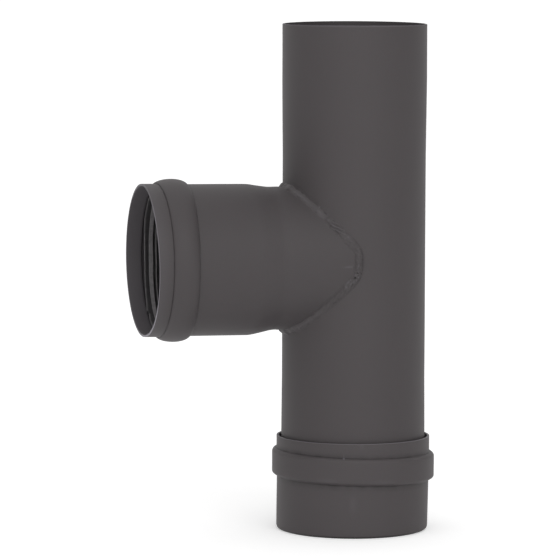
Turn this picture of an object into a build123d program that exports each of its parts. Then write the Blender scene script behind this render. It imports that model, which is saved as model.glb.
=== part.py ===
from build123d import *
import os
from math import atan2, cos, hypot, radians, sin, sqrt, tan

# Stove pipe tee for 80 mm pellet-stove flue, in millimetres, +Z up.
# The origin is on the run's axis at the underside of the cleanout cap.
# The branch points along -X.

# Sheet steel and the pipe size that every end is made to
sheet = 1.2
pipe_radius = 40.0
edge_round = 0.35

# Run tube: ends sized to fit a socket and a body that stays a little narrower between them
run_body_drop = 0.41
top_spigot_length = 32.0
foot_spigot_length = 43.0
sizing_taper_length = 40.0
top_above_branch = 129.0

# Branch: neck welded on the run, taper, gasketed socket; its reaches are from the run's axis
branch_height = 151.7
branch_reach = 120.5
branch_neck_drop = 0.5
branch_socket_clearance = 0.55
branch_neck_reach = 50.5
branch_taper_length = 9.0
branch_taper_round = 9.0
saddle_tip_setback = 6.6

# Mouth of both sockets: a guide ring a little wider than the socket, ahead of the bead
guide_growth = 0.25

# Bead of the branch's socket, a low round bulge; lengths run along the axis from the mouth
branch_bead_start = 8.0
branch_bead_length = 16.3
branch_bead_height = 2.9
branch_bead_front_run = 2.4
branch_bead_back_run = 2.6
branch_bead_crown_share = 0.88
branch_bead_foot_share = 0.10

# Bead of the cap, squarer, with steep flanks
cap_bead_start = 7.7
cap_bead_length = 15.7
cap_bead_height = 2.85
cap_bead_front_run = 0.7
cap_bead_back_run = 0.8
cap_bead_crown_share = 0.70
cap_bead_foot_share = 0.20

# Silicone lip seal: a band in the bead's groove and three rings that face the pipe
seal_seat_gap = 0.1
seal_band_thickness = 1.3
seal_band_length = 8.0
seal_back_bevel = 1.5
seal_lip_clearance = 0.35
seal_front_lip_lean = 2.4
seal_lip_root = 1.2
seal_lip_tip = 0.45
seal_land_start = 1.6
seal_land_length = 2.5
seal_land_flank = 0.5
seal_back_lip_start = 5.9

# Cleanout cap
cap_height = 52.0
cap_socket_clearance = 1.1
cap_skirt_draft = 0.2
cap_corner_round = 3.3
tube_foot_clearance = 0.4

# Weld bead round the saddle: half widths and heights in the square corner and on the flat
weld_corner_half_width = 3.1
weld_corner_height = 2.25
weld_flat_half_width = 1.95
weld_flat_height = 0.95
weld_tip_setback = 8.6
weld_stations = 12

# Radii and places that follow from the sizes above
run_body_radius = pipe_radius - run_body_drop
branch_neck_radius = pipe_radius - branch_neck_drop
branch_socket_radius = pipe_radius + branch_socket_clearance
cap_socket_radius = pipe_radius + cap_socket_clearance
branch_socket_depth = branch_reach - branch_neck_reach - branch_taper_length
run_top = branch_height + top_above_branch
cap_corner_inner_round = cap_corner_round - sheet
cap_floor_flat_radius = cap_socket_radius - cap_skirt_draft - cap_corner_inner_round
foot_on_corner = min(max(0.0, pipe_radius - cap_floor_flat_radius), cap_corner_inner_round)
corner_rise = cap_corner_inner_round - sqrt(cap_corner_inner_round**2 - foot_on_corner**2)
run_foot = sheet + corner_rise + tube_foot_clearance


def sheet_face(outline, rounds):
    """Section of a rolled sheet: an outer line of (radius, height) points and its thickness inwards."""
    outer = FilletPolyline(*outline, radius=rounds)
    return make_face(outer.offset_2d(sheet, side=Side.LEFT))


def turned(section, mouth_edges_at):
    """Ring turned from a section about the Y axis, with its free edges rounded off."""
    ring = revolve(section, Axis.Y)
    free_edges = [
        edge
        for edge in ring.edges().filter_by(GeomType.CIRCLE)
        if min(abs(edge.center().Y - height) for height in mouth_edges_at) < 1e-4
    ]
    return fillet(free_edges, edge_round)


def upright(ring):
    """Turn a ring made about Y so that Y points along +Z."""
    return Rot(90, 0, 0) * ring


def on_branch(ring):
    """Turn a ring made about Y, mouth at height 0 and the body above it, onto the branch's mouth."""
    return Pos(-branch_reach, 0, branch_height) * Rot(0, 0, -90) * ring


def flank_rounds(run, height, crown_share, foot_share):
    """Radii that round a bead's flank into its crown and into the wall, as shares of the flank."""
    flank = hypot(run, height)
    half_turn = tan(atan2(height, run) / 2)
    return crown_share * flank / half_turn, foot_share * flank / half_turn


def socket_outline(radius, start, length, height, front_run, back_run, crown_share, foot_share):
    """Outer (radius, depth) points of a beaded socket, from its mouth inwards, and their rounds."""
    wall = radius + sheet
    guide = wall + guide_growth
    crown = wall + height
    points = [
        (guide, 0),
        (guide, start),
        (crown, start + front_run),
        (crown, start + length - back_run),
        (wall, start + length),
    ]
    front_crown, front_foot = flank_rounds(front_run, height - guide_growth, crown_share, foot_share)
    back_crown, back_foot = flank_rounds(back_run, height, crown_share, foot_share)
    return points, [front_foot, front_crown, back_crown, back_foot]


def branch_socket_outline():
    return socket_outline(
        branch_socket_radius,
        branch_bead_start,
        branch_bead_length,
        branch_bead_height,
        branch_bead_front_run,
        branch_bead_back_run,
        branch_bead_crown_share,
        branch_bead_foot_share,
    )


def cap_socket_outline():
    return socket_outline(
        cap_socket_radius,
        cap_bead_start,
        cap_bead_length,
        cap_bead_height,
        cap_bead_front_run,
        cap_bead_back_run,
        cap_bead_crown_share,
        cap_bead_foot_share,
    )


def make_run_tube():
    """Straight run: rolled tube with two sized ends and the hole for the branch."""
    top_taper_end = run_top - top_spigot_length
    foot_taper_end = run_foot + foot_spigot_length
    outline = [
        (pipe_radius, run_foot),
        (pipe_radius, foot_taper_end),
        (run_body_radius, foot_taper_end + sizing_taper_length),
        (run_body_radius, top_taper_end - sizing_taper_length),
        (pipe_radius, top_taper_end),
        (pipe_radius, run_top),
    ]
    outer = Polyline(*outline)
    section = make_face(outer.offset_2d(sheet, side=Side.LEFT))
    tube = upright(turned(section, [run_foot, run_top]))
    return tube - branch_rod(branch_neck_radius - sheet)


def branch_rod(radius):
    """Solid rod along the branch's axis, from the run's axis out past the mouth."""
    rod = Cylinder(radius, branch_reach, align=(Align.CENTER, Align.CENTER, Align.MIN))
    return Pos(0, 0, branch_height) * Rot(0, -90, 0) * rod


def run_rod(radius):
    """Solid rod along the run's axis over its whole height."""
    return Cylinder(radius, run_top, align=(Align.CENTER, Align.CENTER, Align.MIN))


def make_branch_stub():
    """Branch: beaded socket, taper and neck in one tube, cut to sit on the run as a saddle."""
    points, rounds = branch_socket_outline()
    points.append((branch_socket_radius + sheet, branch_socket_depth))
    points.append((branch_neck_radius, branch_socket_depth + branch_taper_length))
    points.append((branch_neck_radius, branch_reach))
    section = sheet_face(points, rounds + [branch_taper_round, branch_taper_round])
    tube = on_branch(turned(section, [0]))
    side = 4 * branch_reach
    past_tip = Pos(-saddle_tip_setback, 0, branch_height) * Box(
        side, side, side, align=(Align.MIN, Align.CENTER, Align.CENTER)
    )
    return tube - run_rod(run_body_radius) - past_tip


def weld_centre(turn):
    """Point of the weld's centre line, by the angle round the branch from its top."""
    side = branch_neck_radius * sin(radians(turn))
    on_run = sqrt(run_body_radius**2 - side**2)
    tip = sqrt(run_body_radius**2 - branch_neck_radius**2)
    blunt = weld_tip_setback**4 - tip**4
    along = (on_run**4 + blunt) ** 0.25
    return Vector(-along, side, branch_height + branch_neck_radius * cos(radians(turn)))


def weld_section(turn):
    """Oval section of the weld, flatter and narrower where the two tubes run side by side."""
    centre = weld_centre(turn)
    run_normal = Vector(centre.X, centre.Y, 0).normalized()
    branch_normal = Vector(0, sin(radians(turn)), cos(radians(turn)))
    outward = (run_normal + branch_normal).normalized()
    tangent = (weld_centre(turn + 1) - weld_centre(turn - 1)).normalized()
    across = outward.cross(tangent).normalized()
    flatness = run_normal.dot(branch_normal)
    half_width = weld_corner_half_width + (weld_flat_half_width - weld_corner_half_width) * flatness
    height = weld_corner_height + (weld_flat_height - weld_corner_height) * flatness
    return Plane(origin=centre, x_dir=across, z_dir=tangent) * Ellipse(half_width, height)


def make_saddle_weld():
    """Weld bead laid round the saddle, resting on the outside of both tubes."""
    step = 180 / weld_stations
    near_side = loft([weld_section(step * n) for n in range(weld_stations + 1)])
    far_side = loft([weld_section(180 + step * n) for n in range(weld_stations + 1)])
    bead = near_side + far_side
    return bead - run_rod(run_body_radius) - branch_rod(branch_neck_radius)


def seal_ring(socket_radius, bead_start, bead_length, bead_height):
    """Lip seal in the middle of a socket's bead, turned about Y with its front towards the mouth."""
    back = socket_radius + bead_height - seal_seat_gap
    band = back - seal_band_thickness
    bevel = seal_band_thickness / 2
    lip = pipe_radius + seal_lip_clearance
    start = bead_start + (bead_length - seal_band_length) / 2
    end = start + seal_band_length
    lip_back = start - seal_front_lip_lean + seal_lip_root
    land = start + seal_land_start
    land_end = land + seal_land_length
    rear = start + seal_back_lip_start
    section = Polyline(
        (back, start + seal_back_bevel),
        (back - bevel, start),
        (band, start),
        (lip, lip_back - seal_lip_tip),
        (lip, lip_back),
        (band, start + seal_lip_root),
        (band, land - seal_land_flank),
        (lip, land),
        (lip, land_end),
        (band, land_end + seal_land_flank),
        (band, rear - seal_lip_root + seal_lip_tip),
        (lip, rear),
        (lip, rear + seal_lip_tip),
        (band, rear + seal_lip_tip),
        (band, end),
        (back - bevel, end),
        (back, end - seal_back_bevel),
        close=True,
    )
    return revolve(make_face(section), Axis.Y)


def make_branch_seal():
    seal = seal_ring(branch_socket_radius, branch_bead_start, branch_bead_length, branch_bead_height)
    return on_branch(seal)


def make_cleanout_cap():
    """Push-on cap drawn from one sheet: beaded socket, skirt, rounded corner and flat floor."""
    points, rounds = cap_socket_outline()
    floor_radius = cap_socket_radius + sheet - cap_skirt_draft
    points.append((floor_radius, cap_height))
    points.append((0, cap_height))
    section = sheet_face(points, rounds + [cap_corner_round])
    return cap_turned(turned(section, [0]))


def cap_turned(ring):
    """Turn a ring made about Y, mouth at height 0, so that the mouth faces up at the cap's rim."""
    return Pos(0, 0, cap_height) * Rot(-90, 0, 0) * ring


def make_cap_seal():
    seal = seal_ring(cap_socket_radius, cap_bead_start, cap_bead_length, cap_bead_height)
    return cap_turned(seal)


pieces = {
    "run_tube": make_run_tube(),
    "branch_stub": make_branch_stub(),
    "saddle_weld": make_saddle_weld(),
    "branch_seal": make_branch_seal(),
    "cleanout_cap": make_cleanout_cap(),
    "cap_seal": make_cap_seal(),
}

os.makedirs("parts", exist_ok=True)
for name, solid in pieces.items():
    export_step(solid, f"parts/{name}.step")
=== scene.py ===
import bmesh
import bpy
from math import atan2, ceil, cos, exp, hypot, pi, radians, sin, sqrt, tan
from mathutils import Matrix, Vector, noise


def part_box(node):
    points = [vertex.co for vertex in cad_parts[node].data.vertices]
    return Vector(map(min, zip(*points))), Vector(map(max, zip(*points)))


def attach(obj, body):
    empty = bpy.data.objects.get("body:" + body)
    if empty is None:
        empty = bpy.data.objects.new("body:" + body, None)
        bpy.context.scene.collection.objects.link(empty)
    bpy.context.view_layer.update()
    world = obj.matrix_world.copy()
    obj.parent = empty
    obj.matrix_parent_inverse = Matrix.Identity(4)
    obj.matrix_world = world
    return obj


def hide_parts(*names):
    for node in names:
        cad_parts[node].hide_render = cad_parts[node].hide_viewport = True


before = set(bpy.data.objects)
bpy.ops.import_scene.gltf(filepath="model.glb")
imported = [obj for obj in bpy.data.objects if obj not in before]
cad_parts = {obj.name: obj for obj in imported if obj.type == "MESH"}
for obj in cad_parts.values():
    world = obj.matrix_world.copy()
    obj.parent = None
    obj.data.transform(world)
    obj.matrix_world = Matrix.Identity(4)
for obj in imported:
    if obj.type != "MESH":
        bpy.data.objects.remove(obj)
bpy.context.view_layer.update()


# Run tube. The straight flue tube is rolled from 1.2 mm sheet steel, and its two ends are sized to 80 mm.
# Its rims are deburred and a hole is cut in its side for the branch. All of it is sprayed with matt stove
# paint.
mm = 0.001
sheet = 1.2 * mm
rim_round = 0.35 * mm
run_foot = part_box("run_tube")[0].z
run_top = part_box("run_tube")[1].z
pipe_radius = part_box("run_tube")[1].y
run_body_radius = pipe_radius - 0.35 * mm
run_spigot = 32 * mm
run_foot_spigot = 43 * mm
run_sizing_taper = 40 * mm
run_sizing_round = 160 * mm
run_arc_step = 2 * mm
run_step = 4 * mm
run_waver = 0.06 * mm
# The near side's turn: there the top rim stands a little higher and is painted lighter, partly worn and
# partly a painted highlight, and the cap's rim is high
near_turn = radians(254)
top_rim_rise = 0.6 * mm
top_rim_fade = 12 * mm
top_rim_focus = 1.5
top_rim_highlight_and_wear = 0.25
top_edge_highlight_and_wear = 0.125
top_edge_width = 0.8 * mm

branch_low, branch_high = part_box("branch_stub")
branch_height = (branch_low.z + branch_high.z) / 2
neck_radius = pipe_radius - 0.5 * mm
hole_radius = neck_radius - sheet
hole_overrun = 5 * mm

# Points round each pipe, and the turn of each
around = 384
turns = [2 * pi * n / around for n in range(around)]


def rounded_line(corners, rounds, step, straight=1e-6):
    """Points along a line of straight runs, its inner corners rounded by arcs of three steps or more."""
    line = [Vector(corners[0])]
    for corner, reach in zip(range(1, len(corners) - 1), rounds):
        before, here, after = (Vector(corners[corner + n]) for n in (-1, 0, 1))
        into = (here - before).normalized()
        out = (after - here).normalized()
        turn = into.angle_signed(out)
        if abs(turn) < straight:
            continue
        cut = reach * tan(abs(turn) / 2)
        start = here - into * cut
        side = Vector((into.y, -into.x)) if turn > 0 else Vector((-into.y, into.x))
        centre = start + side * reach
        count = max(3, ceil(reach * abs(turn) / step))
        for n in range(count + 1):
            spoke = Matrix.Rotation(-turn * n / count, 2) @ (start - centre)
            line.append(centre + spoke)
    line.append(Vector(corners[-1]))
    return line


def filled_line(line, step):
    """The same line with points added so that none lie further apart than a step."""
    filled = [line[0]]
    for start, end in zip(line, line[1:]):
        count = max(1, ceil((end - start).length / step))
        filled += [start.lerp(end, n / count) for n in range(1, count + 1)]
    return filled


def inner_line(line, thickness):
    """Line at one sheet's thickness to the left of the given one."""
    inner = []
    for n, point in enumerate(line):
        ahead = (line[min(n + 1, len(line) - 1)] - line[max(n - 1, 0)]).normalized()
        inner.append(point + Vector((-ahead.y, ahead.x)) * thickness)
    return inner


def rim(outer, inner, reach, count=4):
    """Rounded free edge of a sheet from the inner line's end to the outer line's start."""
    across = (inner - outer).normalized()
    back = Vector((-across.y, across.x))
    points = []
    for centre, first, last in ((inner - across * reach, 0, 90), (outer + across * reach, 90, 180)):
        for n in range(count + 1):
            swing = radians(first + (last - first) * n / count)
            points.append(centre + across * reach * cos(swing) + back * (reach - reach * sin(swing)))
    return points


def skin(name, rings, closed=True, **shades):
    """Mesh object over rings of points, each joined to the next, with shades given by ring or by point."""
    shape = bmesh.new()
    loops = [[shape.verts.new(point) for point in ring] for ring in rings]
    pairs = list(zip(loops, loops[1:]))
    if closed:
        pairs.append((loops[-1], loops[0]))
    for one, two in pairs:
        for n in range(len(one)):
            m = (n + 1) % len(one)
            shape.faces.new((one[n], one[m], two[m], two[n]))
    bmesh.ops.recalc_face_normals(shape, faces=shape.faces)
    mesh = bpy.data.meshes.new(name)
    shape.to_mesh(mesh)
    shape.free()
    for shade, values in shades.items():
        layer = mesh.attributes.new(shade, "FLOAT", "POINT")
        spread = [value if isinstance(value, list) else [value] * len(rings[0]) for value in values]
        layer.data.foreach_set("value", [value for row in spread for value in row])
    piece = bpy.data.objects.new(name, mesh)
    bpy.context.scene.collection.objects.link(piece)
    mesh.shade_smooth()
    return piece


def waver(direction, along, seed, along_scale=28, round_scale=1.3):
    """Smooth random value, within about -1 and 1, for the unevenness of hand-fed sheet work."""
    place = (direction.x * round_scale, direction.y * round_scale + seed, along * along_scale)
    return noise.noise(Vector(place))


def on_run(point, turn, seed=3.0):
    """Place a section point (radius, height) at an angle round the run's axis."""
    direction = Vector((cos(turn), sin(turn)))
    radius = point.x + run_waver * waver(direction, point.y, seed)
    near_top = max(0, 1 - (run_top - point.y) / top_rim_fade)
    rise = top_rim_rise * near_top * max(0, cos(turn - near_turn)) ** top_rim_focus
    return Vector((direction.x * radius, direction.y * radius, point.y + rise))


# The paint's tone, the tone it darkens to as painted shade with some grime, and its gain where it is
# painted lighter, in part worn thin over the bright steel and in part as painted light and highlight
paint_tone = (0.0560, 0.0492, 0.0512)
shade_and_grime_tone = (0.006, 0.005, 0.005)
thin_coat_gain = (5.1, 5.5, 5.9)
# How much lighter the paint is inside the pipes, a painted light that lifts their shaded insides, and on
# their rims, partly worn and partly a painted highlight, from 0 to 1
inside_lift = 0.17
rim_highlight_and_wear = 0.30
spray_grain = 0.06 * mm
# The run's paint is a little lighter than the base tone: painted light, a lit copy of the same paint
run_gain = 1.08


def stove_paint(name, gain, grain_height=spray_grain, blotch=0.03):
    """Matt stove paint: a warm grey with faint clouds, a fine sprayed grain and a dull sheen, with painted
    light, painted shade and wear laid on by attributes.
    """
    tone = [channel * gain for channel in paint_tone]
    darker = [channel * (1 - blotch) for channel in tone]
    lighter = [channel * (1 + blotch) for channel in tone]
    brightest = [channel * thin_gain for channel, thin_gain in zip(tone, thin_coat_gain)]
    material = bpy.data.materials.new(name)
    material.use_nodes = True
    nodes, links = material.node_tree.nodes, material.node_tree.links
    shader = nodes["Principled BSDF"]
    shader.inputs["Specular IOR Level"].default_value = 0.4
    place = nodes.new("ShaderNodeTexCoord")

    clouds = nodes.new("ShaderNodeTexNoise")
    clouds.inputs["Scale"].default_value = 34
    clouds.inputs["Detail"].default_value = 5
    clouds.inputs["Roughness"].default_value = 0.55
    grain = nodes.new("ShaderNodeTexNoise")
    grain.inputs["Scale"].default_value = 1900
    grain.inputs["Detail"].default_value = 3
    grain.inputs["Roughness"].default_value = 0.6
    for texture in (clouds, grain):
        links.new(place.outputs["Object"], texture.inputs["Vector"])

    colour = nodes.new("ShaderNodeValToRGB")
    colour.color_ramp.elements[0].position = 0.3
    colour.color_ramp.elements[0].color = (*darker, 1)
    colour.color_ramp.elements[1].position = 0.7
    colour.color_ramp.elements[1].color = (*lighter, 1)
    links.new(clouds.outputs["Fac"], colour.inputs["Fac"])
    speckle = nodes.new("ShaderNodeMix")
    speckle.data_type = "RGBA"
    speckle.blend_type = "OVERLAY"
    speckle.inputs["Factor"].default_value = 0.14
    links.new(colour.outputs["Color"], speckle.inputs["A"])
    links.new(grain.outputs["Color"], speckle.inputs["B"])

    # Painted light and highlights, with some real wear: the paint turns paler where this attribute is high
    thin_coat = nodes.new("ShaderNodeAttribute")
    thin_coat.attribute_name = "thin_coat"
    brightened = nodes.new("ShaderNodeMix")
    brightened.data_type = "RGBA"
    brightened.inputs["B"].default_value = (*brightest, 1)
    links.new(thin_coat.outputs["Fac"], brightened.inputs["Factor"])
    links.new(speckle.outputs["Result"], brightened.inputs["A"])
    # Painted shade, with some grime: the paint darkens where this attribute is high
    dirt = nodes.new("ShaderNodeAttribute")
    dirt.attribute_name = "dirt"
    darkened = nodes.new("ShaderNodeMix")
    darkened.data_type = "RGBA"
    darkened.inputs["B"].default_value = (*shade_and_grime_tone, 1)
    links.new(dirt.outputs["Fac"], darkened.inputs["Factor"])
    links.new(brightened.outputs["Result"], darkened.inputs["A"])
    links.new(darkened.outputs["Result"], shader.inputs["Base Color"])

    dullness = nodes.new("ShaderNodeMapRange")
    dullness.inputs["To Min"].default_value = 0.56
    dullness.inputs["To Max"].default_value = 0.66
    links.new(clouds.outputs["Fac"], dullness.inputs["Value"])
    links.new(dullness.outputs["Result"], shader.inputs["Roughness"])

    relief = nodes.new("ShaderNodeBump")
    relief.inputs["Strength"].default_value = 0.35
    relief.inputs["Distance"].default_value = grain_height
    links.new(grain.outputs["Fac"], relief.inputs["Height"])
    links.new(relief.outputs["Normal"], shader.inputs["Normal"])
    return material


def finish_steel(piece, node, body, material, sharp=40):
    """Dress a steel piece: keep its true edges, coat it, and let it stand for its solid."""
    piece.data.set_sharp_from_angle(angle=radians(sharp))
    piece.data.materials.append(material)
    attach(piece, body)
    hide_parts(node)


run_paint = stove_paint("run_paint", run_gain)

run_taper_top = run_foot + run_foot_spigot
run_taper_foot = run_top - run_spigot
run_outline = rounded_line(
    [
        (pipe_radius, run_foot + rim_round),
        (pipe_radius, run_taper_top),
        (run_body_radius, run_taper_top + run_sizing_taper),
        (run_body_radius, run_taper_foot - run_sizing_taper),
        (pipe_radius, run_taper_foot),
        (pipe_radius, run_top - rim_round),
    ],
    [run_sizing_round] * 4,
    run_arc_step,
)
run_outline = filled_line(run_outline, run_step)
# One more ring just below the top rim, where the wear and painted highlight of its edge fade out
run_outline.insert(-1, Vector((pipe_radius, run_top - rim_round - top_edge_width)))
run_inside = inner_line(run_outline, sheet)
top_rim = rim(run_inside[-1], run_outline[-1], rim_round)
foot_rim = rim(run_outline[0], run_inside[0], rim_round)
run_section = run_outline + top_rim[::-1][1:-1] + run_inside[::-1] + foot_rim[::-1][1:-1]
nearness = [max(0, cos(turn - near_turn)) for turn in turns]
top_edge_brightening = [top_edge_highlight_and_wear * near for near in nearness]
top_rim_brightening = [rim_highlight_and_wear + top_rim_highlight_and_wear * near for near in nearness]
# Painted highlight, with some wear: the top rim and the edge below it are painted lighter, most on the near
# side
run_brightening = [0] * (len(run_outline) - 1) + [top_edge_brightening] + [top_rim_brightening] * (len(top_rim) - 2)
run_brightening += [0] * len(run_inside) + [rim_highlight_and_wear] * (len(foot_rim) - 2)
run_rings = [[on_run(point, turn) for turn in turns] for point in run_section]
run_tube = skin("flue_run", run_rings, thin_coat=run_brightening)

# The branch's hole is cut with a closed drum as wide as the neck's bore
hole_rings = [
    [Vector((x, hole_radius * sin(turn), branch_height + hole_radius * cos(turn))) for turn in turns]
    for x in (-pipe_radius - hole_overrun, 0)
]
hole_cutter = skin("hole_cutter", hole_rings, closed=False)
drum_edit = bmesh.new()
drum_edit.from_mesh(hole_cutter.data)
drum_edit.verts.ensure_lookup_table()
for end in (range(around - 1, -1, -1), range(around, 2 * around)):
    drum_edit.faces.new([drum_edit.verts[n] for n in end])
bmesh.ops.recalc_face_normals(drum_edit, faces=drum_edit.faces)
drum_edit.to_mesh(hole_cutter.data)
drum_edit.free()
cut = run_tube.modifiers.new("branch_hole", "BOOLEAN")
cut.operation = "DIFFERENCE"
cut.solver = "EXACT"
cut.object = hole_cutter
bpy.context.view_layer.update()
cut_tube = run_tube.evaluated_get(bpy.context.evaluated_depsgraph_get())
cut_mesh = bpy.data.meshes.new_from_object(cut_tube)
run_tube.modifiers.clear()
run_tube.data = cut_mesh
bpy.data.objects.remove(hole_cutter)
finish_steel(run_tube, "run_tube", "tee", run_paint)


# Branch. A length of the same tube with a narrow neck, a taper and a wider socket, into which a bead is
# rolled for the seal. The neck's end is cut as a saddle that sits on the outside of the run.
branch_reach = -branch_low.x
branch_socket_radius = pipe_radius + 0.55 * mm
branch_taper_reach = 61.0 * mm
branch_socket_depth = branch_reach - branch_taper_reach
branch_taper = 12 * mm
branch_taper_round = 24 * mm
branch_taper_lead = 3 * mm
branch_waver = 0.07 * mm
# The branch's paint is a little lighter than the base tone: painted light, a lit copy of the same paint
branch_gain = 1.05
saddle_setback = 6.6 * mm
saddle_rows = 26
socket_arc_step = 0.45 * mm
socket_step = 3 * mm
socket_waver_scale = 45

branch_bead_start = 8.1 * mm
branch_bead_front = 8.6 * mm
branch_bead_back = 8.55 * mm
branch_bead_length = branch_bead_front + branch_bead_back
branch_bead_end = branch_bead_start + branch_bead_length
branch_bead_height = 3.0 * mm
branch_bead_arcs = 24
# The sheet stands this much further out between the mouth and the bead than behind the bead
guide_rise = 0.25 * mm

# Painted shade darkens the creases at the bead's feet, in patches, and the branch's inside is painted a
# touch darker
crease_half_width = 0.32 * mm
crease_step = 0.2 * mm
crease_dirt = 0.55
crease_patch_middle = 0.85
crease_patch_swing = 0.75
crease_patch_round_scale = 9
crease_patch_depth_scale = 300
inside_dirt = 0.09

# Paint worn off the mouth's edge, and how bright its rim is painted, a painted highlight brightest at the
# bottom, from 0 to 1 by turn in degrees
mouth_wear = 0.06
mouth_wear_fade = 7 * mm
mouth_rim_highlight = [
    (0, 0.3), (165, 0.5), (185, 1), (228, 1), (245, 0.6), (262, 0.55), (318, 0.6), (330, 0.3), (360, 0.3),
]
# A bright streak painted on the near side of the neck, its turn and width in radians
streak_depth = 106.5 * mm
streak_length = 2.4 * mm
streak_turn = radians(267.3)
streak_width = 0.012
streak_strength = 0.13

# The mouth's skew, most on the far side, and a twist of its rim on the near side
branch_mouth_skew = 0.25 * mm
branch_mouth_skew_fade = 30 * mm
branch_rim_twist = 1.05 * mm
branch_rim_twist_fade = 6 * mm
# The bead's back foot is drawn towards the mouth on the near side, with shares by depth in millimetres
branch_bead_skew = 3.4 * mm
branch_bead_skew_focus = 1.5
branch_bead_skew_middle = 0.25
branch_bead_skew_share = [(0, 0), (14, 0), (24.4, 1), (28, 1), (45, 0)]
# How far the branch leans away from the near side and stands above its axis, in millimetres by depth
branch_lean = [
    (0, 0), (22, 0.2), (42, 0.8), (55, 1.25), (60, 1.2), (66, 0.75), (72, 0.3), (78, 0.07), (84, 0),
]
branch_rise = [
    (0, 0.45), (6, 0.40), (10, 0.15), (25, 0.10), (45, -0.15), (58, -0.40), (64, -0.30), (74, 0.15),
    (121, 0.10),
]


def between(table, place):
    """Value at a place in a table of (place, value), in straight steps between its rows."""
    for (start, low), (end, high) in zip(table, table[1:]):
        if place <= end:
            return low + (high - low) * max(0, place - start) / (end - start)
    return table[-1][1]


def domed_bead(wall):
    """Branch bead's outer line as (radius, depth): two quarter ovals that meet the wall in creases."""
    guide = wall + guide_rise
    swings = [radians(90 * n / branch_bead_arcs) for n in range(branch_bead_arcs + 1)]
    line = [Vector((guide, rim_round))]
    line += [Vector((guide, branch_bead_start - n * crease_step)) for n in range(5, 0, -1)]
    for swing in swings:
        depth = branch_bead_start + branch_bead_front * (1 - cos(swing))
        line.append(Vector((guide + (wall + branch_bead_height - guide) * sin(swing), depth)))
    for swing in swings[-2::-1]:
        depth = branch_bead_end - branch_bead_back * (1 - cos(swing))
        line.append(Vector((wall + branch_bead_height * sin(swing), depth)))
    line += [Vector((wall, branch_bead_end + n * crease_step)) for n in range(1, 6)]
    return line


def crease_shade(line, creases):
    """Painted shade over rings along a line: patchy in creases given by depth and strength, and none
    elsewhere.
    """
    shades = []
    for point in line:
        near = max(dirt * max(0, 1 - abs(point.y - depth) / crease_half_width) for depth, dirt in creases)
        ring = []
        for turn in turns:
            place = (cos(turn) * crease_patch_round_scale, sin(turn) * crease_patch_round_scale)
            swing = noise.noise(Vector((*place, point.y * crease_patch_depth_scale)))
            ring.append(min(1, near * (crease_patch_middle + crease_patch_swing * swing)))
        shades.append(ring)
    return shades


def on_branch(point, turn, seed=11.0):
    """Place a section point (radius, depth from the mouth) at an angle round the branch's axis."""
    direction = Vector((sin(turn), cos(turn)))
    radius = point.x + branch_waver * waver(direction, point.y, seed, socket_waver_scale)
    rise = between(branch_rise, point.y / mm) * mm
    lean = between(branch_lean, point.y / mm) * mm
    near_mouth = max(0, 1 - point.y / branch_mouth_skew_fade)
    near_rim = max(0, 1 - point.y / branch_rim_twist_fade)
    near_foot = between(branch_bead_skew_share, point.y / mm)
    near_side = ((1 - direction.x) / 2) ** branch_bead_skew_focus
    skew = branch_mouth_skew * (1 + direction.x) * near_mouth
    skew -= branch_rim_twist * max(0, -direction.x) * direction.y * near_rim
    skew -= branch_bead_skew * near_foot * (near_side - branch_bead_skew_middle)
    across = lean + direction.x * radius
    return Vector((point.y + skew - branch_reach, across, branch_height + rise + direction.y * radius))


def saddle_depth(radius, turn):
    """Depth from the mouth at which a tube of this radius meets the outside of the run."""
    side = radius * sin(turn)
    return branch_reach - max(saddle_setback, sqrt(max(0, run_body_radius**2 - side**2)))


def neck_depth(radius, turn, row):
    """Depth from the mouth of a row of the neck, from its start to its saddle."""
    return neck_start + (saddle_depth(radius, turn) - neck_start) * row / saddle_rows


branch_wall = branch_socket_radius + sheet
neck_start = branch_socket_depth + branch_taper + branch_taper_lead
branch_bead = domed_bead(branch_wall)
branch_corners = [
    branch_bead[-1],
    (branch_wall, branch_socket_depth),
    (neck_radius, branch_socket_depth + branch_taper),
    (neck_radius, neck_start),
]
branch_sleeve = rounded_line(branch_corners, [branch_taper_round] * 2, socket_arc_step)
branch_outline = branch_bead + filled_line(branch_sleeve, socket_step)[1:]
branch_inside = inner_line(branch_outline, sheet)
mouth_rim = rim(branch_outline[0], branch_inside[0], rim_round)
outer_rings = [[on_branch(point, turn) for turn in turns] for point in branch_outline]
inner_rings = [[on_branch(point, turn) for turn in turns] for point in branch_inside]
for rings, radius in ((outer_rings, neck_radius), (inner_rings, neck_radius - sheet)):
    for row in range(1, saddle_rows + 1):
        neck_row = [Vector((radius, neck_depth(radius, turn, row))) for turn in turns]
        rings.append([on_branch(point, turn) for point, turn in zip(neck_row, turns)])
rim_rings = [[on_branch(point, turn) for turn in turns] for point in mouth_rim[1:-1]]
branch_rings = outer_rings + inner_rings[::-1] + rim_rings

branch_creases = [(branch_bead_start, crease_dirt), (branch_bead_end, crease_dirt)]
branch_dirt = crease_shade(branch_outline, branch_creases)
branch_dirt += [0] * saddle_rows
branch_dirt += [inside_dirt] * len(inner_rings) + [0] * len(rim_rings)
branch_brightening = [mouth_wear * max(0, 1 - point.y / mouth_wear_fade) for point in branch_outline]
for row in range(1, saddle_rows + 1):
    streaked = []
    for turn in turns:
        along = (neck_depth(neck_radius, turn, row) - streak_depth) / streak_length
        across = (turn - streak_turn) / streak_width
        streaked.append(streak_strength * exp(-(along**2) - across**2))
    branch_brightening.append(streaked)
mouth_rim_brightening = [between(mouth_rim_highlight, turn * 180 / pi) for turn in turns]
branch_brightening += [inside_lift] * len(inner_rings) + [mouth_rim_brightening] * len(rim_rings)
branch_stub = skin("flue_branch", branch_rings, dirt=branch_dirt, thin_coat=branch_brightening)
branch_paint = stove_paint("branch_paint", branch_gain)
finish_steel(branch_stub, "branch_stub", "tee", branch_paint)


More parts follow.
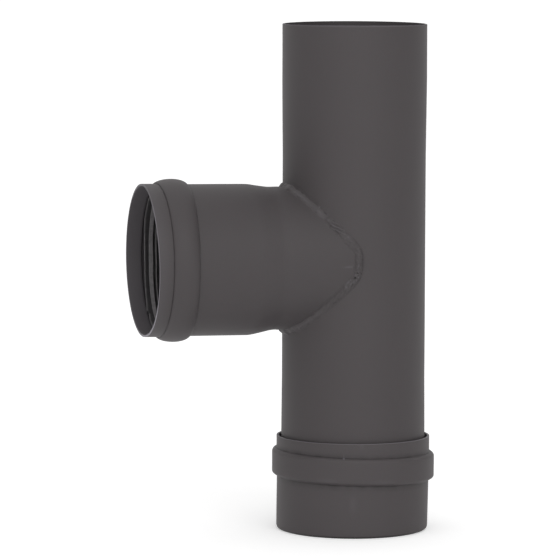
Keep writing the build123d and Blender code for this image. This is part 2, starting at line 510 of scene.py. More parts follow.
# Saddle weld. One run of weld metal laid by hand round the joint of branch and run, under the same paint.
# It is thick in the square corners at the top and the bottom, and low at the sides, where it rounds off the
# joint's points.
weld_setback = 8.6 * mm
weld_blunt = 8
weld_corner_half_width = 3.0 * mm
weld_corner_height = 2.2 * mm
weld_flat_half_width = 2.1 * mm
weld_flat_height = 0.95 * mm
weld_lean = 0.15 * mm
weld_side_fall = 6
weld_margin = 1.1 * mm
weld_bury = 0.02 * mm
weld_edge_dip = 0.12 * mm
weld_root = 0.7 * mm
weld_root_share = 0.7
weld_stations = 1500
weld_points = 34
weld_turn_step = 0.01
weld_edge_angle = 80
weld_grain = 0.12 * mm
weld_blotch = 0.14

# What makes the weld uneven, each by how much and by how many waves in a metre: lumps, as shares of its
# height, swings of its width, as shares too, its sideways sway, its grit, and patches in the painted shade
# at its toes
weld_lumps = (0.42, 260)
weld_rough_lumps = (0.21, 640)
weld_breadths = (0.22, 170)
weld_sway = (0.35 * mm, 150)
weld_grit = (0.16 * mm, 900)
weld_fine_grit = (0.09 * mm, 2100)
ripple_stray = (0.25 * mm, 400)
toe_dirt_patches = (0.9, 420)

# How rough the weld is, from 0 to 1 by turn in degrees: it runs smoother down both arms
roughness_table = [
    (0, 0.6), (182, 0.5), (192, 0.3), (236, 0.3), (246, 1), (304, 1), (309, 0.25), (350, 0.25), (360, 0.6),
]
# How much further the weld spreads over the branch, in millimetres by turn in degrees
weld_spread = [
    (0, 0), (246, 0), (250, 0.6), (257, 0.6), (264, 0.1), (277, 0), (282, 0.9), (286, 1.9), (299, 1.7),
    (305, 0.9), (310, 0.6), (317, 0.5), (326, 0), (360, 0),
]
# Height of the ripples that the pool left as it froze, in millimetres by turn in degrees
ripple_table = [
    (0, 0.03), (236, 0.03), (250, 0.07), (262, 0.07), (272, 0.03), (293, 0.03), (297, 0.28), (301, 0.28),
    (304, 0.03), (360, 0.03),
]
ripple_most = max(height for turn, height in ripple_table) * mm
ripple_pitch = 2.1 * mm
ripple_slant = 0.5
ripple_half_width = 1.9 * mm
# Painted shade in the ripples' hollows and a painted highlight on their crests
ripple_dirt = 0.2
ripple_highlight = 0.1
# How sharply the weld's toe stands on the run and on the branch, from 0 to 1 by turn in degrees
toe_table = [
    (0, 0.4, 0.3),
    (60, 0.8, 0.3),
    (100, 0.4, 0.9),
    (150, 0.2, 0.9),
    (180, 0.3, 0.8),
    (190, 0.2, 1.0),
    (238, 0.15, 0.9),
    (249, 0.1, 0.4),
    (253, 0.5, 0.4),
    (258, 0.9, 0.2),
    (273, 1.0, 0.2),
    (277, 0.3, 0.3),
    (286, 0.1, 0.3),
    (303, 0.2, 0.4),
    (306, 0.5, 0.3),
    (309, 1.0, 0.1),
    (352, 1.0, 0.2),
    (360, 0.4, 0.3),
]
run_toes = [(turn, run_side) for turn, run_side, branch_side in toe_table]
branch_toes = [(turn, branch_side) for turn, run_side, branch_side in toe_table]
toe_blend_least = 0.06 * mm
toe_blend_gain = 0.9 * mm
# Painted shade along the weld's toes, darkest where they stand sharply, in patches
toe_dirt = 0.6
toe_dirt_reach = 0.45 * mm
toe_dirt_middle = 0.5
# What the welder's hand left, each by its turn in degrees, its place in millimetres towards the branch, its
# reach in each of these, its rise in millimetres and its painted shade, which is a painted highlight where
# it is below 0
weld_marks = [
    (195.5, -2.0, 4.0, 0.30, -0.35, 0.6),
    (200.0, -0.6, 0.5, 1.10, -0.25, 0.3),
    (215.0, 0.0, 12.0, 0.80, 0.00, -0.030),
    (237.5, -0.8, 0.6, 0.35, -0.30, 0.5),
    (238.9, -1.1, 0.5, 0.30, -0.25, 0.4),
    (241.5, -1.1, 0.9, 0.45, -0.30, 0.2),
    (247.3, -0.2, 0.6, 0.40, -0.30, 0.15),
    (249.8, 1.3, 0.6, 0.80, 0.50, -0.15),
    (252.6, 2.2, 1.6, 0.60, 0.35, -0.11),
    (253.0, 0.6, 0.8, 0.45, 0.40, -0.14),
    (252.8, -0.6, 0.8, 0.35, -0.35, 0.15),
    (254.9, 2.1, 0.5, 0.35, 0.50, -0.16),
    (255.2, 0.2, 0.8, 0.40, 0.40, -0.12),
    (257.0, -0.5, 0.6, 0.40, 0.30, -0.10),
    (256.7, 1.2, 0.5, 0.25, -0.35, 0.35),
    (258.0, 0.9, 0.6, 0.40, -0.60, 0.95),
    (259.3, -0.6, 0.5, 0.40, 0.50, -0.20),
    (258.5, -2.2, 0.5, 0.40, -0.30, 0.15),
    (260.4, 1.7, 1.0, 0.60, 0.45, -0.14),
    (261.5, 0.5, 0.4, 0.60, 0.45, -0.12),
    (262.4, 0.6, 0.3, 0.60, -0.35, 0.20),
    (263.4, 0.3, 0.4, 0.70, 0.40, -0.10),
    (268.0, 0.4, 1.5, 0.50, 0.30, -0.10),
    (281.0, 1.3, 2.0, 1.00, -0.40, 0.12),
    (287.5, 3.0, 1.3, 0.35, -0.25, 0.22),
    (286.9, 1.3, 1.0, 0.45, -0.20, 0.10),
    (287.3, -0.2, 0.6, 0.50, 0.25, -0.06),
    (290.5, -0.6, 0.9, 0.70, 0.35, -0.10),
    (291.2, 1.4, 0.4, 0.50, 0.30, -0.08),
    (292.8, -2.2, 0.8, 0.50, -0.30, 0.20),
    (293.2, -0.2, 0.5, 0.50, 0.30, -0.08),
    (295.2, 2.2, 1.7, 0.45, -0.45, 0.42),
    (298.2, 1.9, 0.5, 0.35, -0.30, 0.30),
    (297.4, 0.9, 0.9, 0.50, 0.30, -0.07),
    (297.0, -2.9, 0.4, 0.35, -0.30, 0.5),
    (302.0, -1.3, 0.4, 0.40, -0.25, 0.25),
    (301.6, 0.6, 0.8, 0.50, 0.30, -0.07),
    (302.6, 1.8, 0.5, 0.45, -0.30, 0.28),
    (305.0, 1.5, 0.5, 0.35, -0.30, 0.28),
    (306.0, 0.3, 1.0, 0.80, 0.30, -0.06),
    (309.0, -1.8, 0.6, 0.35, 0.35, -0.12),
    (313.5, 0.6, 4.5, 1.30, 0.10, -0.060),
    (316.0, -2.0, 0.5, 0.30, 0.35, -0.12),
    (333.0, 0.2, 12.0, 0.80, 0.00, -0.070),
    (338.0, -2.7, 8.0, 0.40, -0.10, 0.30),
]
# A mark is left out where it is further off than this many of its reaches
mark_end = 3


def weld_centre(turn):
    """Point of the weld's centre line at an angle round the branch's axis from its top."""
    side = neck_radius * sin(turn)
    on_run_side = sqrt(run_body_radius**2 - side**2)
    tip = sqrt(run_body_radius**2 - neck_radius**2)
    blunted = on_run_side**weld_blunt + weld_setback**weld_blunt - tip**weld_blunt
    return Vector((-(blunted ** (1 / weld_blunt)), side, branch_height + neck_radius * cos(turn)))


def way_out(point, heading, radius, least=1e-9):
    """Distance from a point along a heading to a tube's outside, in the plane across it, or -1 if none."""
    reach = heading.dot(heading)
    if reach < least:
        return -1.0
    middle = point.dot(heading) / reach
    inside = middle**2 - (point.dot(point) - radius**2) / reach
    return sqrt(inside) - middle if inside > 0 else -1.0


def steel_rise(foot, outward):
    """Distance from a point of the weld's foot, along its outward heading, to the outer of both tubes."""
    across_run = Vector((foot.x, foot.y))
    across_branch = Vector((foot.y, foot.z - branch_height))
    run_way = way_out(across_run, Vector((outward.x, outward.y)), run_body_radius)
    branch_way = way_out(across_branch, Vector((outward.y, outward.z)), neck_radius)
    return max(run_way, branch_way)


def uneven(kind, place, shift=(0, 0, 0)):
    """Smooth random amount at a place, of a kind given by how much and how many waves in a metre."""
    most, waves = kind
    return most * noise.noise(place * waves + Vector(shift))


def part_way(start, end, share):
    """Value at a share of the way from start to end."""
    return start + (end - start) * share


def hand_marks(degrees_round, towards_branch):
    """Rise in metres and painted shade, negative for a painted highlight, that the marks of the hand add at
    a place of the weld.
    """
    rise = 0.0
    mark_shading = 0.0
    for mark_turn, mark_side, turn_reach, side_reach, lift, dirt in weld_marks:
        along = (degrees_round - mark_turn) / turn_reach
        if abs(along) < mark_end:
            fade = exp(-(along**2) - ((towards_branch - mark_side) / side_reach) ** 2)
            rise += lift * mm * fade
            mark_shading += dirt * fade
    return rise, mark_shading


def weld_ring(turn):
    """Section of the weld with its painted shade and painted highlights, uneven as a hand-laid bead is."""
    centre = weld_centre(turn)
    run_normal = Vector((centre.x, centre.y, 0)).normalized()
    branch_normal = Vector((0, sin(turn), cos(turn)))
    outward = (run_normal + branch_normal).normalized()
    tangent = (weld_centre(turn + weld_turn_step) - weld_centre(turn - weld_turn_step)).normalized()
    across = outward.cross(tangent).normalized()
    run_side = 1 if across.dot(branch_normal) > 0 else -1
    flatness = run_normal.dot(branch_normal)

    degrees_round = turn * 180 / pi
    coarse = between(roughness_table, degrees_round)
    half_width = part_way(weld_corner_half_width, weld_flat_half_width, flatness)
    half_width *= 1 + uneven(weld_breadths, centre, (3, 1, 0))
    height = part_way(weld_corner_height, weld_flat_height, flatness)
    height *= 1 + uneven(weld_lumps, centre) + coarse * uneven(weld_rough_lumps, centre)
    middle = uneven(weld_sway, centre, (7, 0, 0)) + weld_lean * run_side
    spread = between(weld_spread, degrees_round) * mm
    reach = half_width + spread + weld_margin
    ripple_height = between(ripple_table, degrees_round) * mm
    run_toe = between(run_toes, degrees_round)
    branch_toe = between(branch_toes, degrees_round)

    top, dirt, coat = [], [], []
    for n in range(weld_points):
        offset = reach * (2 * n / (weld_points - 1) - 1)
        over_run = offset * run_side
        foot = centre + across * offset
        share = (offset - middle) / (half_width + (spread if over_run < 0 else 0))
        past_side = max(0, abs(share) - 1)
        dome = height * (sqrt(max(0, 1 - share**2)) - past_side * weld_side_fall)
        grit = coarse * (uneven(weld_grit, foot) + uneven(weld_fine_grit, foot))
        bent = over_run + ripple_slant * neck_radius * turn + uneven(ripple_stray, foot)
        ripple = ripple_height * sin(2 * pi * bent / ripple_pitch)
        high = dome + grit + ripple

        # The bead's crown runs into the steel at its toes, sharply or in a soft curve
        low = steel_rise(foot, outward)
        sharp = run_toe if over_run > 0 else branch_toe
        blend = toe_blend_least + toe_blend_gain * (1 - sharp) ** 2
        nearness = max(0, 1 - abs(high - low) / blend)
        rise = max(high, low - weld_bury) + blend * nearness**2 / 4
        lift, mark_shading = hand_marks(degrees_round, -over_run / mm)
        top.append(foot + outward * (rise + lift))

        at_toe = max(0, 1 - abs(high - low) / toe_dirt_reach)
        patch = min(1, max(0, toe_dirt_middle + uneven(toe_dirt_patches, foot)))
        toe_shading = toe_dirt * at_toe * sharp**2 * patch
        wave = ripple / ripple_most * exp(-((offset / ripple_half_width) ** 2))
        dirt.append(min(1, max(0, toe_shading + mark_shading - ripple_dirt * min(0, wave))))
        coat.append(max(0, -mark_shading) + ripple_highlight * max(0, wave))
    for edge in (0, -1):
        top[edge] -= outward * weld_edge_dip
    root_offsets = (reach * weld_root_share, 0, -reach * weld_root_share)
    root = [centre + across * offset - outward * weld_root for offset in root_offsets]
    clean = [0] * len(root)
    return top + root, dirt + clean, coat + clean


weld_sections = [weld_ring(2 * pi * n / weld_stations) for n in range(weld_stations)]
weld_rings, weld_dirt, weld_brightening = zip(*weld_sections)
saddle_weld = skin("joint_weld", weld_rings, dirt=weld_dirt, thin_coat=weld_brightening)
weld_paint = stove_paint("weld_paint", 1, weld_grain, weld_blotch)
finish_steel(saddle_weld, "saddle_weld", "tee", weld_paint, weld_edge_angle)


# Branch seal. A moulded ring of black silicone, pressed into the bead from inside. Its two thin lips, with
# a broad land between them, grip the pipe.
seal_band_length = 8 * mm
seal_seat_gap = 0.1 * mm
seal_band = 1.3 * mm
seal_lip_clearance = 0.35 * mm
seal_lip_radius = pipe_radius + seal_lip_clearance
seal_lean = 2.4 * mm
seal_root = 1.2 * mm
seal_tip = 0.45 * mm
seal_land = 1.3 * mm
seal_land_length = 2.1 * mm
seal_flank = 0.5 * mm
seal_back_lip = 4.95 * mm
seal_forward = 0.55 * mm
seal_bevel = 1.5 * mm
seal_edge = 0.12 * mm
seal_arc_step = 0.08 * mm
seal_step = 0.3 * mm
seal_edge_angle = 50
# Painted light: the black silicone is given a mid grey, lifted so that it shows in the shade inside the
# sockets
silicone_dark = (0.192, 0.183, 0.188)
silicone_pale = (0.262, 0.250, 0.257)
# The near black that the seal's painted shade darkens to
silicone_shade_tone = (0.008, 0.008, 0.009)
silicone_relief = 0.03 * mm

# Painted shade in the grooves behind the lips: at the front lip, its gain for each metre behind that, its
# most, and how far below the lips it starts and fades in
groove_dirt = 0.62
groove_dirt_gain = 30
groove_dirt_most = 0.95
groove_start = 0.1 * mm
groove_fade = 0.35 * mm
# A nick in the front lip, painted dark as its shade, its turn and width in radians and its reach along the
# pipe
nick_turn = radians(140.3)
nick_width = 0.022
nick_reach = 0.9 * mm

# How far the branch seal's front lip and its land have drifted towards the mouth, in millimetres by turn in
# degrees, and how far behind the bead's start the land begins
lip_drift = [
    (0, 0.7), (42, 1.5), (50, 1.3), (60, 1.35), (66, 1.0), (77, 0.45), (90, 0.1), (98, 0.05), (105, 0.35),
    (113, 0.6), (118, 0.8), (127, 1.2), (132, 1.5), (139, 2.1), (142, 1.2), (150, 1.8), (160, 1.8),
    (185, 0.7), (200, 0), (330, 0), (360, 0.7),
]
land_drift = [
    (0, 0.6), (42, 1.2), (50, 1.0), (62, 0.7), (77, 0.4), (90, 0.1), (98, 0.05), (105, 0.35), (118, 0.7),
    (127, 1.0), (139, 1.3), (150, 1.3), (185, 0.6), (200, 0), (330, 0), (360, 0.6),
]
land_drift_start = 4.6 * mm


def seal_section(socket_radius, bead_start, bead_length, bead_height):
    """Closed outline of a seal as (radius, depth), its edges slightly rounded as moulded rubber is."""
    front = bead_start + (bead_length - seal_band_length) / 2 - seal_forward
    back = socket_radius + bead_height - seal_seat_gap
    band = back - seal_band
    lip = seal_lip_radius
    land = front + seal_land
    rear = front + seal_back_lip
    corners = [
        (back, front + seal_band_length / 2),
        (back, front + seal_bevel),
        (back - seal_band / 2, front),
        (band, front),
        (lip, front - seal_lean + seal_root - seal_tip),
        (lip, front - seal_lean + seal_root),
        (band, front + seal_root),
        (band, land - seal_flank),
        (lip, land),
        (lip, land + seal_land_length),
        (band, land + seal_land_length + seal_flank),
        (band, rear - seal_root + seal_tip),
        (lip, rear),
        (lip, rear + seal_tip),
        (band, rear + seal_tip),
        (band, front + seal_band_length),
        (back - seal_band / 2, front + seal_band_length),
        (back, front + seal_band_length - seal_bevel),
        (back, front + seal_band_length / 2),
    ]
    outline = rounded_line(corners, [seal_edge] * (len(corners) - 2), seal_arc_step)
    return filled_line(outline, seal_step)[:-1]


def black_silicone(name):
    """Moulded black silicone, painted a mid grey as painted light, satin, with a faint mottle and mould
    texture.
    """
    material = bpy.data.materials.new(name)
    material.use_nodes = True
    nodes, links = material.node_tree.nodes, material.node_tree.links
    shader = nodes["Principled BSDF"]
    shader.inputs["Roughness"].default_value = 0.42
    place = nodes.new("ShaderNodeTexCoord")
    mottle = nodes.new("ShaderNodeTexNoise")
    mottle.inputs["Scale"].default_value = 420
    mottle.inputs["Detail"].default_value = 4
    links.new(place.outputs["Object"], mottle.inputs["Vector"])
    colour = nodes.new("ShaderNodeValToRGB")
    colour.color_ramp.elements[0].position = 0.35
    colour.color_ramp.elements[0].color = (*silicone_dark, 1)
    colour.color_ramp.elements[1].position = 0.75
    colour.color_ramp.elements[1].color = (*silicone_pale, 1)
    links.new(mottle.outputs["Fac"], colour.inputs["Fac"])
    dirt = nodes.new("ShaderNodeAttribute")
    dirt.attribute_name = "dirt"
    darkened = nodes.new("ShaderNodeMix")
    darkened.data_type = "RGBA"
    darkened.inputs["B"].default_value = (*silicone_shade_tone, 1)
    links.new(dirt.outputs["Fac"], darkened.inputs["Factor"])
    links.new(colour.outputs["Color"], darkened.inputs["A"])
    links.new(darkened.outputs["Result"], shader.inputs["Base Color"])
    relief = nodes.new("ShaderNodeBump")
    relief.inputs["Strength"].default_value = 0.3
    relief.inputs["Distance"].default_value = silicone_relief
    links.new(mottle.outputs["Fac"], relief.inputs["Height"])
    links.new(relief.outputs["Normal"], shader.inputs["Normal"])
    return material


def seal_shade(points):
    """Painted shade over a seal's rings: dark in the grooves behind its lips and in the nick of its front
    lip.
    """
    front_lip = min(point.y for point in points)
    nick = [exp(-(((turn - nick_turn) / nick_width) ** 2)) for turn in turns]
    shades = []
    for point in points:
        groove_shading = min(groove_dirt_most, groove_dirt + (point.y - front_lip) * groove_dirt_gain)
        deep = groove_shading * min(1, max(0, (point.x - seal_lip_radius - groove_start) / groove_fade))
        near_lip = exp(-(((point.y - front_lip) / nick_reach) ** 4))
        shades.append([max(deep, near_lip * cut) for cut in nick])
    return shades


def on_branch_seal(point, turn):
    """Place a seal's section point on the branch, with lips and land drifted forward from the band."""
    band = branch_socket_radius + branch_bead_height - seal_seat_gap - seal_band
    free = min(1, max(0, (band - point.x) / (band - seal_lip_radius)))
    drift = lip_drift if point.y < branch_bead_start + land_drift_start else land_drift
    drifted = Vector((point.x, point.y - between(drift, turn * 180 / pi) * mm * free))
    return on_branch(drifted, turn)


def moulded_seal(name, points, place):
    """Mesh of a seal from its section points, each put in place round its socket."""
    rings = [[place(point, turn) for turn in turns] for point in points]
    return skin(name, rings, dirt=seal_shade(points))


def finish_seal(piece, node, body):
    """Dress a seal and let it stand for its solid."""
    piece.data.set_sharp_from_angle(angle=radians(seal_edge_angle))
    piece.data.materials.append(silicone)
    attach(piece, body)
    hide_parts(node)


silicone = black_silicone("silicone")
branch_seal_points = seal_section(
    branch_socket_radius, branch_bead_start, branch_bead_length, branch_bead_height
)
branch_seal = moulded_seal("branch_lip_seal", branch_seal_points, on_branch_seal)
finish_seal(branch_seal, "branch_seal", "tee")


# Cleanout cap. A cup drawn from one sheet, with a flat floor and a bead rolled round its socket like the
# branch's. It is pushed over the foot of the run and pulls off downwards to let the ash out.
cap_low, cap_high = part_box("cleanout_cap")
cap_height = cap_high.z - cap_low.z
cap_socket_radius = pipe_radius + 1.1 * mm
cap_foot_draft = 0.2 * mm
cap_foot_lean = 0.42 * mm
cap_corner_round = 2.1 * mm
# The floor's rings end round a pinhole of this radius
cap_floor_centre = 0.5 * mm
cap_waver = 0.10 * mm
# The cap's paint is lighter still, partly a lighter paint of its own and partly painted light for the
# dimmer light near the floor
cap_gain = 1.16
cap_bead_start = 7.7 * mm
cap_bead_length = 15.72 * mm
cap_bead_end = cap_bead_start + cap_bead_length
cap_bead_height = 2.85 * mm
cap_bead_shift = 0.15 * mm
# How far along the pipe the bead's flanks run, and the share of each that is rounded at crown and foot
cap_bead_runs = (0.7 * mm, 1.7 * mm)
cap_crown_shares = (0.70, 0.28)
cap_crease_share = 0.06
# The bead slants a little on the cup, and its slant fades out towards the rim and above the floor
cap_bead_slant = 1.25 * mm
cap_slant_turn = radians(188)
cap_slant_start = 5 * mm
cap_slant_end = 10 * mm
cap_slant_fade = 14 * mm
cap_rim_rise = 0.24 * mm
cap_rim_slant = 0.43 * mm
cap_rim_fade = 5 * mm
# Painted shade in the bead's lower crease, and on the foot from this share of its round on, where it turns
# under
cap_lower_crease_dirt = 0.75
cap_foot_shade_start = 0.36
cap_foot_shade_gain = 2
cap_foot_dirt = 0.95
# Scuffs low on the skirt, painted highlights on the bead's edges, at its lower crease and by the rim, and
# one bright speck, each by its turn in degrees, its depth in millimetres, its reach in each of these and
# how much lighter it is
cap_scuffs_and_highlights = [
    (254.5, 33, 2.6, 4.5, 0.035),
    (309, 45.5, 4.0, 0.9, 0.08),
    (247.5, 7.9, 0.5, 0.25, 0.8),
    (259, 23.5, 22, 0.6, 0.035),
    (276, 20.9, 8, 0.5, 0.03),
    (236, 20.9, 7, 0.5, 0.035),
    (232, 8.9, 6, 0.4, 0.04),
    (306, 8.9, 5, 0.4, 0.05),
    (260.5, 1.2, 1.6, 1.3, 0.06),
]


def on_cap(point, turn, seed=23.0):
    """Place a section point (radius, depth from the rim) at an angle round the cap's axis."""
    direction = Vector((cos(turn), sin(turn)))
    fade = min(1, point.x / cap_socket_radius)
    radius = point.x + cap_waver * fade * waver(direction, point.y, seed, socket_waver_scale)
    on_bead = max(0, point.x - cap_socket_radius - sheet) / cap_bead_height
    radius += cap_bead_shift * on_bead * direction.x
    below_bead = max(0, (point.y - cap_bead_end) / (cap_height - cap_bead_end))
    above_floor = max(0, (cap_height - cap_slant_end - point.y) / cap_slant_fade)
    near_bead = min(1, point.y / cap_slant_start, above_floor)
    near_rim = max(0, 1 - point.y / cap_rim_fade)
    depth = point.y - cap_bead_slant * near_bead * cos(turn - cap_slant_turn)
    depth -= near_rim * (cap_rim_rise + cap_rim_slant * cos(turn - near_turn))
    x = direction.x * radius - cap_foot_lean * below_bead
    return Vector((x, direction.y * radius, cap_high.z - depth))


def cap_bead():
    """Corners and rounds of the cap's outer line from its mouth over its bead, as (radius, depth)."""
    wall = cap_socket_radius + sheet
    guide = wall + guide_rise
    crown = wall + cap_bead_height
    corners = [
        (guide, rim_round),
        (guide, cap_bead_start),
        (crown, cap_bead_start + cap_bead_runs[0]),
        (crown, cap_bead_end - cap_bead_runs[1]),
        (wall, cap_bead_end),
    ]
    rounds = []
    for run, rise, crown_share in zip(cap_bead_runs, (crown - guide, cap_bead_height), cap_crown_shares):
        reach = hypot(run, rise) / tan(atan2(rise, run) / 2)
        rounds.append((cap_crease_share * reach, crown_share * reach))
    return corners, [*rounds[0], *rounds[1][::-1]]


def spots(line, marks):
    """Lighter paint over rings along a line, in scuffs and painted highlights given by turn, depth, their
    two reaches and strength.
    """
    shades = []
    for point in line:
        ring = [0.0] * around
        for place, depth, turn_reach, depth_reach, strength in marks:
            across = ((point.y / mm - depth) / depth_reach) ** 2
            for n, turn in enumerate(turns):
                swing = turn * 180 / pi - place
                ring[n] += strength * exp(-across - (swing / turn_reach) ** 2)
        shades.append(ring)
    return shades


cap_corners, cap_rounds = cap_bead()
cap_corners.append((cap_socket_radius + sheet - cap_foot_draft, cap_height))
cap_corners.append((cap_floor_centre, cap_height))
cap_rounds.append(cap_corner_round)
cap_outline = filled_line(rounded_line(cap_corners, cap_rounds, socket_arc_step), socket_step)
cap_inside = inner_line(cap_outline, sheet)
cap_rim = rim(cap_outline[0], cap_inside[0], rim_round)
cap_section = cap_outline + cap_inside[::-1] + cap_rim[1:-1]
cap_rings = [[on_cap(point, turn) for turn in turns] for point in cap_section]

cap_creases = [(cap_bead_start, crease_dirt), (cap_bead_end, cap_lower_crease_dirt)]
cap_dirt = crease_shade(cap_outline, cap_creases)
for row, point in enumerate(cap_outline):
    under = (point.y - cap_height) / cap_corner_round + 1
    if under > cap_foot_shade_start:
        foot_shading = min(1, cap_foot_shade_gain * (under - cap_foot_shade_start) / (1 - cap_foot_shade_start))
        cap_dirt[row] = [foot_shading * cap_foot_dirt] * around
cap_dirt += [0] * (len(cap_section) - len(cap_outline))
cap_brightening = spots(cap_outline, cap_scuffs_and_highlights)
cap_brightening += [inside_lift] * len(cap_inside) + [rim_highlight_and_wear] * (len(cap_rim) - 2)
cleanout_cap = skin("cleanout_cup", cap_rings, dirt=cap_dirt, thin_coat=cap_brightening)
cap_paint = stove_paint("cap_paint", cap_gain)
finish_steel(cleanout_cap, "cleanout_cap", "cap", cap_paint)


# Cap seal. A moulded silicone ring of the same kind as the branch's, pressed into the cap's bead. There it
# grips the foot of the run.
cap_seal_points = seal_section(cap_socket_radius, cap_bead_start, cap_bead_length, cap_bead_height)
cap_seal = moulded_seal("cap_lip_seal", cap_seal_points, on_cap)
finish_seal(cap_seal, "cap_seal", "cap")


# Studio. A pale paper floor and a white surround that is dimmer at both sides, with one broad soft light
# high in front and a little to the right, as for a catalogue picture.
floor_reach = 30.0
floor_tone = (0.9, 0.9, 0.9)
floor_lift = 0.34
white = (1, 1, 1)
fill_level = 0.9
# The surround dims towards both ends of a level line at this turn, between these distances along it, and by
# the shift sooner at its right end
side_turn = radians(15)
side_shift = 0.08
side_dim_start = 0.5
side_dim_end = 0.95
side_dimmest = 0.35
softbox_width = 3.4
softbox_height = 2.6
softbox_power = 50
softbox_place = (0.16, -4.3, 2.55)


def studio_rays(nodes, links, ray):
    """1 for rays that show the studio itself, straight on, mirrored or through glass, and 0 for others."""
    shown = ray.outputs["Is Camera Ray"]
    for kind in ("Is Glossy Ray", "Is Transmission Ray"):
        either = nodes.new("ShaderNodeMath")
        either.operation = "MAXIMUM"
        links.new(shown, either.inputs[0])
        links.new(ray.outputs[kind], either.inputs[1])
        shown = either.outputs[0]
    return shown


floor_edit = bmesh.new()
floor_corners = []
for x, y in ((-1, -1), (1, -1), (1, 1), (-1, 1)):
    floor_corners.append(floor_edit.verts.new((x * floor_reach, y * floor_reach, cap_low.z)))
floor_edit.faces.new(floor_corners)
floor_mesh = bpy.data.meshes.new("floor")
floor_edit.to_mesh(floor_mesh)
floor_edit.free()
floor = bpy.data.objects.new("floor", floor_mesh)
bpy.context.scene.collection.objects.link(floor)
floor_paper = bpy.data.materials.new("floor_paper")
floor_paper.use_nodes = True
floor_nodes, floor_links = floor_paper.node_tree.nodes, floor_paper.node_tree.links
paper = floor_nodes["Principled BSDF"]
paper.inputs["Base Color"].default_value = (*floor_tone, 1)
paper.inputs["Roughness"].default_value = 0.9
paper.inputs["Specular IOR Level"].default_value = 0.0
paper.inputs["Emission Color"].default_value = (*white, 1)
lift = floor_nodes.new("ShaderNodeMath")
lift.operation = "MULTIPLY"
lift.inputs[1].default_value = floor_lift
floor_ray = floor_nodes.new("ShaderNodeLightPath")
floor_links.new(studio_rays(floor_nodes, floor_links, floor_ray), lift.inputs[0])
floor_links.new(lift.outputs[0], paper.inputs["Emission Strength"])
floor_mesh.materials.append(floor_paper)
# The tee stands on its cap, so the floor stays under the cap when that is pulled off
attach(floor, "cap")

surround = bpy.data.worlds.new("surround")
bpy.context.scene.world = surround
surround.use_nodes = True
sky_nodes, sky_links = surround.node_tree.nodes, surround.node_tree.links
fill = sky_nodes["Background"]
fill.inputs["Color"].default_value = (*white, 1)
seen = sky_nodes.new("ShaderNodeBackground")
seen.inputs["Color"].default_value = (*white, 1)
sky_ray = sky_nodes.new("ShaderNodeLightPath")

heading = sky_nodes.new("ShaderNodeTexCoord")
sideways = sky_nodes.new("ShaderNodeVectorMath")
sideways.operation = "DOT_PRODUCT"
sideways.inputs[1].default_value = (cos(side_turn), -sin(side_turn), 0)
sky_links.new(heading.outputs["Generated"], sideways.inputs[0])
shifted = sky_nodes.new("ShaderNodeMath")
shifted.operation = "ADD"
shifted.inputs[1].default_value = side_shift
sky_links.new(sideways.outputs["Value"], shifted.inputs[0])
either_side = sky_nodes.new("ShaderNodeMath")
either_side.operation = "ABSOLUTE"
sky_links.new(shifted.outputs[0], either_side.inputs[0])
dim = sky_nodes.new("ShaderNodeMapRange")
dim.interpolation_type = "SMOOTHSTEP"
dim.inputs["From Min"].default_value = side_dim_start
dim.inputs["From Max"].default_value = side_dim_end
dim.inputs["To Min"].default_value = 1.0
dim.inputs["To Max"].default_value = side_dimmest
sky_links.new(either_side.outputs[0], dim.inputs["Value"])

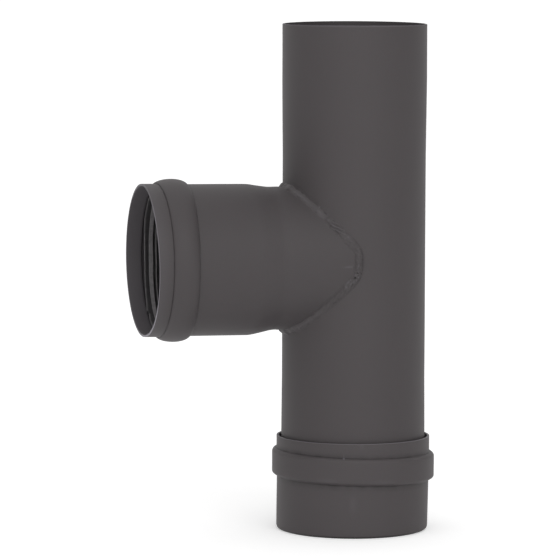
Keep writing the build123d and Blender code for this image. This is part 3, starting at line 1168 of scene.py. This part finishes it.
dimmed_fill = sky_nodes.new("ShaderNodeMath")
dimmed_fill.operation = "MULTIPLY"
dimmed_fill.inputs[1].default_value = fill_level
sky_links.new(dim.outputs["Result"], dimmed_fill.inputs[0])
sky_links.new(dimmed_fill.outputs[0], fill.inputs["Strength"])
dimmed_seen = sky_nodes.new("ShaderNodeMath")
dimmed_seen.operation = "MAXIMUM"
sky_links.new(dim.outputs["Result"], dimmed_seen.inputs[0])
sky_links.new(sky_ray.outputs["Is Camera Ray"], dimmed_seen.inputs[1])
sky_links.new(dimmed_seen.outputs[0], seen.inputs["Strength"])
sky = sky_nodes.new("ShaderNodeMixShader")
sky_links.new(studio_rays(sky_nodes, sky_links, sky_ray), sky.inputs["Fac"])
sky_links.new(fill.outputs["Background"], sky.inputs[1])
sky_links.new(seen.outputs["Background"], sky.inputs[2])
sky_links.new(sky.outputs["Shader"], sky_nodes["World Output"].inputs["Surface"])

softbox = bpy.data.lights.new("softbox", "AREA")
softbox.shape = "RECTANGLE"
softbox.size = softbox_width
softbox.size_y = softbox_height
softbox.energy = softbox_power
softbox_stand = bpy.data.objects.new("softbox", softbox)
softbox_stand.location = softbox_place
aim = (Vector((0, 0, branch_height)) - softbox_stand.location).to_track_quat("-Z", "Y")
softbox_stand.rotation_euler = aim.to_euler()
bpy.context.scene.collection.objects.link(softbox_stand)

view = bpy.context.scene.view_settings
view.view_transform = "Standard"


# Camera. A long lens at the photograph's distance, height and turn, a little above the branch. Its place,
# aim and lens are fitted to the tee's outlines in the photograph.
camera_distance = 2.3294
camera_height = 0.3745
camera_turn = radians(16.06)
camera_yaw = camera_turn + radians(-1.0042)
camera_pitch = radians(5.786)
camera_roll = radians(0.188)
focal_pixels = 4219.2
photo_width = 560
nearest_seen = 0.05
furthest_seen = 200

ahead = Vector(
    (sin(camera_yaw) * cos(camera_pitch), cos(camera_yaw) * cos(camera_pitch), -sin(camera_pitch))
)
level = Vector((cos(camera_yaw), -sin(camera_yaw), 0))
upright = level.cross(ahead)
right = level * cos(camera_roll) + upright * sin(camera_roll)
up = upright * cos(camera_roll) - level * sin(camera_roll)
camera = bpy.data.cameras.new("camera")
camera.sensor_width = 36
camera.lens = focal_pixels / photo_width * camera.sensor_width
camera.clip_start = nearest_seen
camera.clip_end = furthest_seen
tripod = bpy.data.objects.new("camera", camera)
stand = Vector((-camera_distance * sin(camera_turn), -camera_distance * cos(camera_turn), camera_height))
tripod.matrix_world = Matrix.Translation(stand) @ Matrix((right, up, -ahead)).transposed().to_4x4()
bpy.context.scene.collection.objects.link(tripod)
bpy.context.scene.camera = tripod
